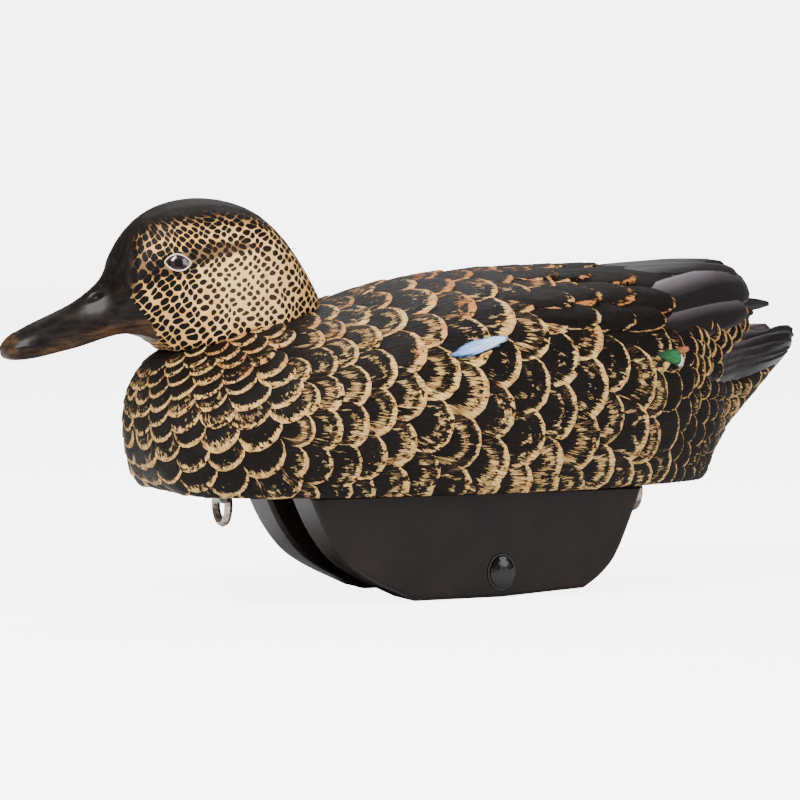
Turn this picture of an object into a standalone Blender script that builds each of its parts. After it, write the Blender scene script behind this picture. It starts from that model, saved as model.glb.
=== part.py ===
"""Floating duck decoy: hollow carved body, plugged-in head, twin-fin weighted keel and swinging line rings.

Frame: the origin is on the ground under the middle of the decoy, +X runs from the bill to the tail,
-Y is the bird's left side and +Z is up. Sizes below are in millimetres; MM turns them into metres.
"""

import math

import bmesh
import bpy
from mathutils import Matrix, Vector

MM = 0.001
GAP = 0.3  # clearance between pieces that touch or seat in each other

# ---- driving dimensions -------------------------------------------------------------------------
BODY_WALL = 2.6
HEAD_WALL = 2.8
KEEL_WALL = 2.5
BODY_BOTTOM_Z = 41.2  # the flat bottom, where the keel is screwed on
WIDTH_SCALE = 1.0  # widens or narrows body, head and tail together
FRAME_SHIFT_X = -4.8  # brings the middle of the overall length to x = 0 once everything is built

LOFT_STEPS = 1  # loft sections between two listed ones
BODY_RING_POINTS = 32
HEAD_RING_POINTS = 28

PAN_THICKNESS = 2.9
PAN_FRONT_X, PAN_REAR_X = -88.0, 114.0
PAN_RIM = 2.5  # body rim left outside the pan
PAN_LEDGE = 3.0  # width of the ledge that the pan is glued to
LEDGE_THICKNESS = 2.8

SEAM_FRONT = (-94.7, 94.3)  # x, z where the head's base plane meets throat and nape
SEAM_REAR = (-32.3, 108.9)
NECK_FLOOR = 2.6  # body wall under the head's base
SPIGOT_HALF_LENGTH, SPIGOT_HALF_WIDTH, SPIGOT_DEPTH, SPIGOT_WALL = 20.0, 14.0, 9.0, 2.2
SPIGOT_X = -64.0

EYE_CENTRE = (-97.2, 18.5, 126.6)
EYE_RADIUS, EYE_HALF_DEPTH = 4.7, 1.7
EYE_TURN, EYE_LIFT = 15.0, 11.0  # degrees towards the bill, and up

KEEL_TOP_Z = BODY_BOTTOM_Z - GAP
KEEL_WIDTH = 70.0
FIN_THICKNESS = 22.0
FIN_EDGE_ROUND = 1.6
WEB_THICKNESS = 6.0
WEB_FRONT_X, WEB_REAR_X = -34.0, 74.0
KEEL_SCREW_X = (-20.0, 56.0)
KEEL_SCREW_Y = 7.5
BALLAST_TOP_Z = 21.0

PLUG_X, PLUG_Z = 26.5, 9.6
PLUG_HALF_LENGTH, PLUG_HALF_HEIGHT = 5.9, 7.0  # the oval head of the plug
PLUG_DOME, PLUG_FLANGE = 1.9, 0.9
PLUG_STEM_SHARE, PLUG_STEM_LENGTH = 0.72, 5.5
PLUG_SEAT_DEPTH = 0.7

SCREW_SHANK_R, SCREW_HEAD_R, SCREW_HEAD_H = 1.5, 3.0, 2.2
KEEL_SCREW_REACH = 9.0  # how far a keel screw goes past the pan's lower face
STRAP_SCREW_HEAD_R, STRAP_SCREW_HEAD_H, STRAP_SCREW_REACH = 2.2, 1.4, 7.0
BOSS_WALL, BOSS_END = 2.0, 2.0

RING_X = {"front": -73.0, "rear": 100.0}
RING_WIRE_R = 1.7
RING_HALF_WIDTH = 6.6  # to the wire's centre
RING_DROP = 10.0  # from the bar's centre to the lowest point of the wire's centre
STRAP_THICKNESS, STRAP_HALF_WIDTH, STRAP_HALF_LENGTH = 0.8, 3.0, 8.1
STRAP_SCREW_X = 5.6

# ---- body and head sections ---------------------------------------------------------------------
# x, top z, bottom z, half width, z of the widest point, half width at the bottom edge, crown power
BODY_SECTIONS = (
    (-108.0, 70.5, 66.0, 4.0, 68.2, 3.0, 2.0),
    (-106.3, 80.5, 57.0, 15.0, 67.5, 11.0, 2.0),
    (-101.5, 89.5, 46.6, 28.0, 66.5, 20.0, 1.95),
    (-93.0, 96.8, BODY_BOTTOM_Z + 0.2, 40.0, 66.0, 31.0, 1.8),
    (-79.0, 106.5, BODY_BOTTOM_Z, 51.0, 67.0, 42.0, 1.55),
    (-60.0, 112.0, BODY_BOTTOM_Z, 59.0, 69.0, 50.0, 1.5),
    (-42.0, 111.6, BODY_BOTTOM_Z, 63.0, 71.0, 53.0, 1.65),
    (-28.0, 112.8, BODY_BOTTOM_Z, 65.0, 72.0, 55.0, 1.85),
    (-8.0, 118.2, BODY_BOTTOM_Z, 66.5, 73.0, 56.5, 2.05),
    (20.0, 122.6, BODY_BOTTOM_Z, 67.0, 74.0, 57.0, 2.2),
    (50.0, 124.2, BODY_BOTTOM_Z, 64.5, 76.0, 54.0, 2.25),
    (80.0, 125.0, BODY_BOTTOM_Z, 57.0, 79.0, 46.0, 2.25),
    (103.0, 125.3, BODY_BOTTOM_Z, 46.5, 82.0, 36.0, 2.2),
    (117.0, 125.2, BODY_BOTTOM_Z, 39.0, 84.5, 27.0, 2.15),
    (123.0, 125.0, 48.0, 35.0, 87.5, 21.0, 2.1),
    (133.0, 124.3, 60.0, 28.0, 93.0, 16.0, 2.0),
    (142.0, 121.4, 74.0, 19.0, 98.5, 11.0, 2.0),
    (147.5, 113.5, 90.0, 8.0, 102.5, 5.0, 2.0),
)
TAIL_SECTIONS = (
    (100.0, 98.0, 52.0, 30.0, 84.0, 24.0, 2.2),
    (117.0, 100.5, 46.0, 31.0, 84.0, 22.0, 2.2),
    (128.0, 101.2, 57.5, 30.0, 87.0, 20.0, 2.2),
    (140.0, 100.0, 69.5, 27.0, 90.5, 19.0, 2.2),
    (151.0, 98.0, 80.0, 22.5, 92.5, 17.0, 2.2),
    (159.0, 98.2, 87.0, 17.5, 94.0, 14.0, 2.2),
    (164.5, 98.8, 92.0, 11.5, 95.8, 9.5, 2.2),
    (167.8, 98.4, 95.0, 5.0, 96.7, 4.5, 2.0),
)
HEAD_SECTIONS = (
    (-158.2, 96.6, 93.6, 3.6, 95.0, 3.0, 2.0),
    (-157.0, 98.9, 92.2, 6.2, 94.9, 5.4, 2.0),
    (-153.8, 101.4, 91.6, 8.3, 95.0, 7.2, 2.0),
    (-147.5, 104.8, 92.4, 9.5, 95.8, 8.2, 2.0),
    (-139.5, 108.4, 94.2, 9.4, 97.4, 8.2, 1.9),
    (-131.5, 112.4, 96.0, 9.1, 99.4, 7.8, 1.75),
    (-124.5, 117.4, 98.2, 9.7, 102.4, 7.6, 1.7),
    (-119.5, 122.6, 99.6, 11.0, 106.6, 7.5, 1.8),
    (-116.0, 129.6, 100.4, 12.8, 112.0, 7.4, 2.0),
    (-112.0, 136.4, 100.6, 15.0, 116.0, 7.4, 2.1),
    (-106.0, 142.8, 99.8, 17.5, 118.5, 8.2, 2.2),
    (-98.0, 147.6, 96.7, 19.9, 119.0, 10.5, 2.2),
    (-89.0, 149.9, 90.0, 21.6, 118.0, 15.5, 2.2),
    (-80.0, 150.3, 84.0, 22.9, 117.0, 19.5, 2.2),
    (-70.0, 148.8, 82.0, 23.7, 116.0, 21.5, 2.15),
    (-60.0, 144.4, 82.0, 23.6, 115.0, 22.0, 2.1),
    (-51.0, 136.4, 84.0, 21.6, 112.0, 20.5, 2.0),
    (-43.5, 126.0, 88.0, 17.6, 108.5, 16.5, 2.0),
    (-38.0, 117.2, 92.0, 12.4, 105.5, 11.5, 2.0),
    (-33.6, 110.8, 98.0, 5.0, 104.0, 4.6, 2.0),
)
# The keel fin's outline: down the bow, along the foot, up the rocker and the stern. Each point is
# an x and a height, which is a share of the keel's depth.
FIN_BOW = ((-51.5, 1.0), (-45.0, 0.66), (-36.5, 0.381), (-26.0, 0.2), (-9.0, 0.0))
FIN_FOOT_REAR_X = 27.0
FIN_STERN = ((62.0, 0.049), (70.0, 0.186), (77.0, 0.411), (87.0, 1.0))


# ---- helpers ------------------------------------------------------------------------------------
def make_collection(name):
    collection = bpy.data.collections.new(name)
    bpy.context.scene.collection.children.link(collection)
    return collection


def add_object(name, mesh, collection, material=None):
    obj = bpy.data.objects.new(name, mesh)
    collection.objects.link(obj)
    if material:
        mesh.materials.append(material)
        mesh.shade_smooth()
        mesh.set_sharp_from_angle(angle=math.radians(35))
    return obj


def add_cutter(name, mesh):
    cutter = add_object(name, mesh, cutters)
    cutter.hide_render = True
    cutter.display_type = "WIRE"
    return cutter


def combine(obj, other, operation):
    modifier = obj.modifiers.new(other.name, "BOOLEAN")
    modifier.operation = operation
    modifier.object = other
    modifier.solver = "EXACT"


def material(name, colour, roughness, metallic=0.0):
    made = bpy.data.materials.new(name)
    made.use_nodes = True
    shader = made.node_tree.nodes["Principled BSDF"]
    shader.inputs["Base Color"].default_value = (*colour, 1)
    shader.inputs["Roughness"].default_value = roughness
    shader.inputs["Metallic"].default_value = metallic
    return made


def between(t, a, b, c, d):
    """The smooth curve through a, b, c and d, at the share t of the way from b to c."""
    bend = (2 * a - 5 * b + 4 * c - d) * t**2 + (3 * b - a - 3 * c + d) * t**3
    return 0.5 * (2 * b + (c - a) * t + bend)


def spline(rows, steps):
    """The rows with steps more between each two, on a smooth curve through them."""
    found = []
    for i in range(len(rows) - 1):
        before = rows[max(i - 1, 0)]
        after = rows[min(i + 2, len(rows) - 1)]
        for k in range(steps + 1):
            t = k / (steps + 1)
            corners = zip(before, rows[i], rows[i + 1], after)
            found.append(tuple(between(t, *values) for values in corners))
    found.append(rows[-1])
    return found


def section_ring(row, inset, points):
    """One section as a closed ring of points, from the bottom centre up its +Y side and down the other."""
    x, top, bottom, half_width, widest_z, bottom_half_width, power = row
    half_width = half_width * WIDTH_SCALE - inset
    edge = bottom_half_width * WIDTH_SCALE - inset
    top -= inset
    bottom += inset
    half = points // 2
    under, flank = half // 4, half // 4
    crown = half - under - flank
    side = [(edge * k / under, bottom) for k in range(under)]
    for k in range(flank):
        t = k / flank
        y = edge + (half_width - edge) * math.sin(t * math.pi / 2)
        side.append((y, bottom + (widest_z - bottom) * t**1.3))
    for k in range(crown + 1):
        angle = k / crown * math.pi / 2
        y = half_width * math.cos(angle) ** (2 / power)
        side.append((y, widest_z + (top - widest_z) * math.sin(angle) ** (2 / power)))
    side[-1] = (0.0, top)
    other = [(-y, z) for y, z in side[-2:0:-1]]
    return [(x, y, z) for y, z in side + other]


def loft(rows, inset=0.0, points=BODY_RING_POINTS, steps=LOFT_STEPS):
    """A closed mesh through the sections, with flat ends."""
    bm = bmesh.new()
    rings = []
    for row in spline(rows, steps):
        rings.append([bm.verts.new(Vector(p) * MM) for p in section_ring(row, inset, points)])
    for first, second in zip(rings, rings[1:]):
        for k in range(points):
            bm.faces.new((first[k], first[(k + 1) % points], second[(k + 1) % points], second[k]))
    bm.faces.new(rings[0][::-1])
    bm.faces.new(rings[-1])
    bmesh.ops.recalc_face_normals(bm, faces=bm.faces)
    return finish(bm, "loft")


def finish(bm, name):
    mesh = bpy.data.meshes.new(name)
    bm.to_mesh(mesh)
    bm.free()
    return mesh


def tapered_rod(radius, length, far_radius=None, segments=24):
    """A cylinder or cone standing on the origin, along +Z."""
    bm = bmesh.new()
    bmesh.ops.create_cone(
        bm,
        cap_ends=True,
        segments=segments,
        radius1=radius * MM,
        radius2=(radius if far_radius is None else far_radius) * MM,
        depth=length * MM,
        matrix=Matrix.Translation((0, 0, length * MM / 2)),
    )
    return bm


def box_mesh(low, high):
    bm = bmesh.new()
    bmesh.ops.create_cube(bm, size=1)
    size = Vector(high) - Vector(low)
    middle = (Vector(high) + Vector(low)) / 2
    bmesh.ops.scale(bm, vec=size * MM, verts=bm.verts)
    bmesh.ops.translate(bm, vec=middle * MM, verts=bm.verts)
    return finish(bm, "box")


def prism(outline, low, high, axis):
    """The (a, b) outline extruded from low to high along Y or Z."""
    curve = bpy.data.curves.new("outline", "CURVE")
    curve.dimensions = "2D"
    curve.fill_mode = "BOTH"
    curve.extrude = (high - low) / 2 * MM
    path = curve.splines.new("POLY")
    path.points.add(len(outline) - 1)
    for point, (a, b) in zip(path.points, outline):
        point.co = (a * MM, b * MM, 0, 1)
    path.use_cyclic_u = True
    source = bpy.data.objects.new("outline", curve)
    cutters.objects.link(source)
    bpy.context.view_layer.update()
    graph = bpy.context.evaluated_depsgraph_get()
    mesh = bpy.data.meshes.new_from_object(source.evaluated_get(graph))
    bpy.data.objects.remove(source)
    bm = bmesh.new()
    bm.from_mesh(mesh)
    bmesh.ops.remove_doubles(bm, verts=bm.verts, dist=1e-6)
    bmesh.ops.dissolve_limit(bm, angle_limit=math.radians(1), verts=bm.verts, edges=bm.edges)
    middle = (low + high) / 2 * MM
    if axis == "Y":
        bmesh.ops.rotate(bm, matrix=Matrix.Rotation(math.pi / 2, 3, "X"), verts=bm.verts)
        bmesh.ops.translate(bm, vec=(0, middle, 0), verts=bm.verts)
    else:
        bmesh.ops.translate(bm, vec=(0, 0, middle), verts=bm.verts)
    bmesh.ops.recalc_face_normals(bm, faces=bm.faces)
    bm.to_mesh(mesh)
    bm.free()
    return mesh


def oval(half_a, half_b, centre=(0.0, 0.0), points=32, power=2.0):
    """A closed superellipse outline."""
    found = []
    for k in range(points):
        angle = 2 * math.pi * k / points
        c, s = math.cos(angle), math.sin(angle)
        a = math.copysign(abs(c) ** (2 / power), c) * half_a
        b = math.copysign(abs(s) ** (2 / power), s) * half_b
        found.append((centre[0] + a, centre[1] + b))
    return found


def seam_z(x):
    share = (x - SEAM_FRONT[0]) / (SEAM_REAR[0] - SEAM_FRONT[0])
    return SEAM_FRONT[1] + share * (SEAM_REAR[1] - SEAM_FRONT[1])


SEAM_TILT = math.atan2(SEAM_REAR[1] - SEAM_FRONT[1], SEAM_REAR[0] - SEAM_FRONT[0])
SEAM_PLACE = Matrix.Translation(Vector((SPIGOT_X, 0, seam_z(SPIGOT_X))) * MM)
SEAM_FRAME = SEAM_PLACE @ Matrix.Rotation(-SEAM_TILT, 4, "Y")


def on_seam(mesh):
    """Moves a mesh modelled about the origin onto the head's tilted base plane."""
    mesh.transform(SEAM_FRAME)
    return mesh


# ---- head ---------------------------------------------------------------------------------------
def head_blank(name, grow):
    """The head's outer form down to its base plane, as a helper, grown all round by grow."""
    blank = add_cutter(name, loft(HEAD_SECTIONS, -grow, HEAD_RING_POINTS, steps=1))
    below = add_cutter(name + "_below", on_seam(box_mesh((-80, -60, -60 - grow), (80, 60, -grow))))
    combine(blank, below, "DIFFERENCE")
    return blank


def head_cavity_rows():
    rows = []
    for x, top, bottom, wide, z, low, power in HEAD_SECTIONS[9:18]:
        rows.append((x, top - HEAD_WALL, bottom + HEAD_WALL, wide - HEAD_WALL, z, low - HEAD_WALL, power))
    return rows


def eye_matrix(side, depth_scale=1.0):
    x, y, z = EYE_CENTRE
    turn = Matrix.Rotation(math.radians(EYE_TURN * side), 4, "Z")
    lift = Matrix.Rotation(math.radians(EYE_LIFT * side), 4, "X")
    place = Matrix.Translation(Vector((x, y * side * WIDTH_SCALE, z)) * MM)
    return place @ turn @ lift @ Matrix.Diagonal((1, depth_scale, 1, 1))


def eye_mesh(side, grow=0.0):
    bm = bmesh.new()
    bmesh.ops.create_uvsphere(bm, u_segments=20, v_segments=8, radius=(EYE_RADIUS + grow) * MM)
    bmesh.ops.rotate(bm, matrix=Matrix.Rotation(math.pi / 2, 3, "X"), verts=bm.verts)
    share = (EYE_HALF_DEPTH + grow) / (EYE_RADIUS + grow)
    bmesh.ops.transform(bm, matrix=eye_matrix(side, share), verts=bm.verts)
    return finish(bm, "eye")


def build_head():
    head = add_object("head_shell", loft(HEAD_SECTIONS, 0.0, HEAD_RING_POINTS), decoy, paint_head)
    combine(head, add_cutter("head_base_cut", on_seam(box_mesh((-80, -60, -60), (80, 60, 0)))), "DIFFERENCE")
    spigot = prism(oval(SPIGOT_HALF_LENGTH, SPIGOT_HALF_WIDTH), -SPIGOT_DEPTH, 1.0, "Z")
    combine(head, add_cutter("spigot", on_seam(spigot)), "UNION")
    cavity = add_cutter("head_cavity", loft(head_cavity_rows(), 0.0, 20, steps=1))
    floor = add_cutter("head_floor", on_seam(box_mesh((-80, -60, -60), (80, 60, HEAD_WALL))))
    combine(cavity, floor, "DIFFERENCE")
    combine(head, cavity, "DIFFERENCE")
    bore_outline = oval(SPIGOT_HALF_LENGTH - SPIGOT_WALL, SPIGOT_HALF_WIDTH - SPIGOT_WALL)
    bore = prism(bore_outline, -SPIGOT_DEPTH - 20.0, HEAD_WALL + 5.0, "Z")
    combine(head, add_cutter("spigot_bore", on_seam(bore)), "DIFFERENCE")
    for side, name in ((-1, "left"), (1, "right")):
        combine(head, add_cutter("eye_socket_" + name, eye_mesh(side, GAP)), "DIFFERENCE")
        add_object("eye_" + name, eye_mesh(side), decoy, eye_gloss)


# ---- body ---------------------------------------------------------------------------------------
def body_cavity_rows():
    rows = []
    for x, top, bottom, wide, z, low, power in BODY_SECTIONS[1:14]:
        roof = top - BODY_WALL
        if SEAM_FRONT[0] - 8 < x < SEAM_REAR[0] + 8:
            roof = min(roof, seam_z(x) - GAP - NECK_FLOOR)
        floor = bottom + GAP + PAN_THICKNESS + LEDGE_THICKNESS
        rows.append((x, roof, floor, wide - BODY_WALL, max(z, floor + 8), low - BODY_WALL, power))
    return rows


def bottom_half_width(x):
    for first, second in zip(BODY_SECTIONS, BODY_SECTIONS[1:]):
        if first[0] <= x <= second[0]:
            share = (x - first[0]) / (second[0] - first[0])
            return (first[5] + share * (second[5] - first[5])) * WIDTH_SCALE
    raise ValueError("x is off the body")


def pan_outline(inset):
    """The bottom opening's outline: the body's bottom edge less the rim, with rounded ends."""
    middle = (PAN_FRONT_X + PAN_REAR_X) / 2
    half_length = (PAN_REAR_X - PAN_FRONT_X) / 2 - inset
    end_power = 4.0
    found = []
    count = 26
    for k in range(count + 1):
        along = -math.cos(math.pi * k / count)
        x = middle + along * half_length
        half = (bottom_half_width(x) - PAN_RIM - inset) * (1 - abs(along) ** end_power) ** (1 / end_power)
        found.append((x, half))
    return found[:-1] + [(x, -half) for x, half in found[:0:-1]]


def build_body():
    body = add_object("body_shell", loft(BODY_SECTIONS), decoy, paint_body)
    combine(body, add_cutter("tail_form", loft(TAIL_SECTIONS, 0.0, 24)), "UNION")
    for side, name in ((-1, "left"), (1, "right")):
        blade = tapered_rod(6.0, 24.0, 1.2, 12)
        bmesh.ops.scale(blade, vec=(0.75, 0.4, 1), verts=blade.verts)
        lean = Matrix.Rotation(math.radians(84), 4, "Y") @ Matrix.Rotation(math.radians(8 * side), 4, "X")
        place = Matrix.Translation(Vector((136, 4.5 * side, 106)) * MM)
        bmesh.ops.transform(blade, matrix=place @ lean, verts=blade.verts)
        combine(body, add_cutter("wing_tip_" + name, finish(blade, "blade")), "UNION")
    combine(body, add_cutter("body_cavity", loft(body_cavity_rows(), 0.0, 24, steps=1)), "DIFFERENCE")
    low, ledge = BODY_BOTTOM_Z - 3, BODY_BOTTOM_Z + PAN_THICKNESS + GAP
    combine(body, add_cutter("pan_rebate", prism(pan_outline(-GAP), low, ledge, "Z")), "DIFFERENCE")
    top = ledge + LEDGE_THICKNESS + 4
    combine(body, add_cutter("pan_opening", prism(pan_outline(PAN_LEDGE), low, top, "Z")), "DIFFERENCE")
    combine(body, head_blank("neck_recess", GAP), "DIFFERENCE")
    neck_hole = prism(oval(SPIGOT_HALF_LENGTH + GAP, SPIGOT_HALF_WIDTH + GAP), -SPIGOT_DEPTH - 2, 3.0, "Z")
    combine(body, add_cutter("neck_hole", on_seam(neck_hole)), "DIFFERENCE")


# ---- bottom pan, keel and their screws ----------------------------------------------------------
def upright(mesh_or_bm, x, y, z):
    bmesh.ops.translate(mesh_or_bm, vec=Vector((x, y, z)) * MM, verts=mesh_or_bm.verts)
    return finish(mesh_or_bm, "upright")


def keel_screw_places():
    return [(x, y) for x in KEEL_SCREW_X for y in (-KEEL_SCREW_Y, KEEL_SCREW_Y)]


def strap_screw_places(end):
    return [(RING_X[end] + dx, 0.0) for dx in (-STRAP_SCREW_X, STRAP_SCREW_X)]


def build_pan():
    bottom, top = BODY_BOTTOM_Z, BODY_BOTTOM_Z + PAN_THICKNESS
    pan = add_object("bottom_pan", prism(pan_outline(0.0), bottom, top, "Z"), decoy, keel_plastic)
    screws = [(x, y, KEEL_SCREW_REACH) for x, y in keel_screw_places()]
    for end in RING_X:
        screws += [(x, y, STRAP_SCREW_REACH) for x, y in strap_screw_places(end)]
    for number, (x, y, reach) in enumerate(screws, 1):
        hole_r = SCREW_SHANK_R + GAP
        boss = tapered_rod(hole_r + BOSS_WALL, reach + BOSS_END - 1.0, segments=12)
        combine(pan, add_cutter(f"boss_{number}", upright(boss, x, y, bottom + 1.0)), "UNION")
        hole = tapered_rod(hole_r, reach + GAP + 2.0, segments=12)
        combine(pan, add_cutter(f"boss_hole_{number}", upright(hole, x, y, bottom - 2.0)), "DIFFERENCE")


def fin_outline(inset=0.0):
    """The fin's outline, moved in by inset along the normal at each point."""
    bow = spline([(x, share * KEEL_TOP_Z) for x, share in FIN_BOW], 3)
    stern = spline([(x, share * KEEL_TOP_Z) for x, share in FIN_STERN], 3)
    line = bow + [(FIN_FOOT_REAR_X, 0.0)] + stern
    if not inset:
        return line
    moved = []
    for i, (x, z) in enumerate(line):
        before, after = Vector(line[i - 1]), Vector(line[(i + 1) % len(line)])
        here = Vector((x, z))
        first, second = (here - before).normalized(), (after - here).normalized()
        normals = Vector((-first.y, first.x)), Vector((-second.y, second.x))
        middle = (normals[0] + normals[1]).normalized()
        moved.append(tuple(here + middle * inset / max(middle.dot(normals[0]), 0.5)))
    return moved


def fin_y(side, inset=0.0):
    """The fin's inner and outer Y, in rising order."""
    outer, inner = KEEL_WIDTH / 2 - inset, KEEL_WIDTH / 2 - FIN_THICKNESS + inset
    return (inner, outer) if side > 0 else (-outer, -inner)


def bevelled(mesh, width):
    bm = bmesh.new()
    bm.from_mesh(mesh)
    sharp = [e for e in bm.edges if e.calc_face_angle(0) > math.radians(50)]
    bmesh.ops.bevel(bm, geom=sharp, offset=width * MM, segments=2, profile=0.5, affect="EDGES", material=-1)
    bm.to_mesh(mesh)
    bm.free()
    return mesh


def plug_frame(side):
    """Maps a plug modelled along +Z, about the origin, onto the fin's outer face."""
    turned = Matrix.Rotation(math.radians(-90 * side), 4, "X")
    return Matrix.Translation(Vector((PLUG_X, side * KEEL_WIDTH / 2, PLUG_Z)) * MM) @ turned


def plug_prism(share, low, high, grow, side):
    outline = oval(PLUG_HALF_LENGTH * share + grow, PLUG_HALF_HEIGHT * share + grow, points=20)
    mesh = prism(outline, low, high, "Z")
    mesh.transform(plug_frame(side))
    return mesh


def build_keel():
    keel = add_object(
        "keel_shell", bevelled(prism(fin_outline(), *fin_y(-1), "Y"), FIN_EDGE_ROUND), decoy, keel_plastic
    )
    far_fin = add_cutter("far_fin", bevelled(prism(fin_outline(), *fin_y(1), "Y"), FIN_EDGE_ROUND))
    reach = KEEL_WIDTH / 2 - FIN_THICKNESS + 1.0
    web = box_mesh((WEB_FRONT_X, -reach, KEEL_TOP_Z - WEB_THICKNESS), (WEB_REAR_X, reach, KEEL_TOP_Z))
    combine(keel, add_cutter("web", web), "UNION")
    combine(keel, far_fin, "UNION")
    for side, name in ((-1, "left"), (1, "right")):
        hollow = prism(fin_outline(KEEL_WALL), *fin_y(side, KEEL_WALL), "Y")
        combine(keel, add_cutter("fin_hollow_" + name, hollow), "DIFFERENCE")
        seat = plug_prism(1.0, -PLUG_SEAT_DEPTH - GAP, 5.0, GAP, side)
        combine(keel, add_cutter("plug_seat_" + name, seat), "DIFFERENCE")
        hole = plug_prism(PLUG_STEM_SHARE, -KEEL_WALL - 3.0, 5.0, GAP, side)
        combine(keel, add_cutter("plug_hole_" + name, hole), "DIFFERENCE")
        build_plug(side, name)
        build_ballast(side, name)
    for number, (x, y) in enumerate(keel_screw_places(), 1):
        hole = tapered_rod(SCREW_SHANK_R + GAP, WEB_THICKNESS + 6, segments=12)
        hole = upright(hole, x, y, KEEL_TOP_Z - WEB_THICKNESS - 3)
        combine(keel, add_cutter(f"web_hole_{number}", hole), "DIFFERENCE")
        head_z = KEEL_TOP_Z - WEB_THICKNESS - GAP
        tip_z = BODY_BOTTOM_Z + KEEL_SCREW_REACH
        add_screw(f"keel_screw_{number}", x, y, head_z, SCREW_HEAD_R, SCREW_HEAD_H, tip_z)


def build_plug(side, name):
    flange = plug_prism(1.0, -PLUG_SEAT_DEPTH, PLUG_FLANGE - PLUG_SEAT_DEPTH, 0.0, side)
    plug = add_object("plug_" + name, flange, decoy, plug_rubber)
    bm = bmesh.new()
    bmesh.ops.create_uvsphere(bm, u_segments=20, v_segments=8, radius=MM)
    size = (PLUG_HALF_LENGTH - 0.5, PLUG_HALF_HEIGHT - 0.5, PLUG_DOME)
    bmesh.ops.scale(bm, vec=size, verts=bm.verts)
    bmesh.ops.translate(bm, vec=(0, 0, 0.1 * MM), verts=bm.verts)
    bmesh.ops.transform(bm, matrix=plug_frame(side), verts=bm.verts)
    combine(plug, add_cutter("plug_dome_" + name, finish(bm, "dome")), "UNION")
    stem = plug_prism(PLUG_STEM_SHARE, -PLUG_STEM_LENGTH, 0.2, 0.0, side)
    combine(plug, add_cutter("plug_stem_" + name, stem), "UNION")
    centre = plug_frame(side).translation
    plug.data.transform(Matrix.Translation(-centre))
    plug.location = centre


def build_ballast(side, name):
    """The sand fill in the lower part of one fin, shaped by the hollow it was poured into."""
    fill = prism(fin_outline(KEEL_WALL + GAP), *fin_y(side, KEEL_WALL + GAP), "Y")
    ballast = add_object("ballast_" + name, fill, decoy, ballast_sand)
    above = box_mesh((-90, -60, BALLAST_TOP_Z), (120, 60, 60))
    combine(ballast, add_cutter("ballast_level_" + name, above), "DIFFERENCE")
    pocket = plug_prism(PLUG_STEM_SHARE, -PLUG_STEM_LENGTH - 1.0, 5.0, 1.0, side)
    combine(ballast, add_cutter("ballast_pocket_" + name, pocket), "DIFFERENCE")


def add_screw(name, x, y, head_z, head_r, head_h, tip_z):
    """A pan-head screw pointing up, with the seat of its head at head_z."""
    profile = (
        (0.0, tip_z),
        (0.5, tip_z - 0.1),
        (SCREW_SHANK_R, tip_z - 1.6),
        (SCREW_SHANK_R, head_z),
        (head_r, head_z),
        (head_r, head_z - head_h * 0.2),
        (head_r * 0.93, head_z - head_h * 0.62),
        (head_r * 0.62, head_z - head_h * 0.96),
        (0.0, head_z - head_h),
    )
    bm = bmesh.new()
    verts = [bm.verts.new((r * MM, 0, z * MM)) for r, z in profile]
    for pair in zip(verts, verts[1:]):
        bm.edges.new(pair)
    screw = add_object(name, finish(bm, name), decoy, steel)
    screw.location = (x * MM, y * MM, 0)
    turn = screw.modifiers.new("turn", "SCREW")
    turn.steps = turn.render_steps = 14
    turn.use_merge_vertices = True
    turn.merge_threshold = 0.00001


# ---- line rings and their straps ----------------------------------------------------------------
BAR_Z = BODY_BOTTOM_Z - GAP - RING_WIRE_R


def build_ring(end):
    """A D-shaped ring about its bar, which is the hinge: its origin is on the bar's axis."""
    half, r = RING_HALF_WIDTH, RING_WIRE_R
    corner = 2.2
    line = [(-half + corner, 0.0), (half - corner, 0.0)]
    bends = [(corner * math.sin(a), corner * math.cos(a)) for a in (0.52, 1.05, 1.57)]
    line += [(half - corner + across, up - corner) for across, up in bends]
    arc_z = -(RING_DROP - half)
    line += [
        (half * math.cos(a), arc_z - half * math.sin(a)) for a in [math.pi * k / 12 for k in range(0, 13)]
    ]
    line += [(corner - half - across, up - corner) for across, up in reversed(bends)]
    curve = bpy.data.curves.new("ring_" + end, "CURVE")
    curve.dimensions = "3D"
    curve.bevel_depth = r * MM
    curve.bevel_resolution = 2
    path = curve.splines.new("POLY")
    path.points.add(len(line) - 1)
    for point, (y, z) in zip(path.points, line):
        point.co = (0, y * MM, z * MM, 1)
    path.use_cyclic_u = True
    ring = bpy.data.objects.new("ring_" + end, curve)
    curve.materials.append(steel)
    decoy.objects.link(ring)
    ring.location = Vector((RING_X[end], 0, BAR_Z)) * MM


def strap_outline():
    """The strap's side view: two flat tabs and a hump that holds the ring's bar, in x, z below the pan."""
    inner = RING_WIRE_R + GAP
    outer = inner + STRAP_THICKNESS
    bar = -GAP - RING_WIRE_R
    top, bottom = -GAP, -GAP - STRAP_THICKNESS
    arc = [math.pi * k / 10 for k in range(11)]
    under = [(-outer * math.cos(a), bar - outer * math.sin(a)) for a in arc]
    over = [(inner * math.cos(a), bar - inner * math.sin(a)) for a in arc]
    return (
        [(-STRAP_HALF_LENGTH, bottom), (-outer, bottom)]
        + under
        + [(outer, bottom), (STRAP_HALF_LENGTH, bottom), (STRAP_HALF_LENGTH, top), (inner, top)]
        + over
        + [(-inner, top), (-STRAP_HALF_LENGTH, top)]
    )


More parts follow.
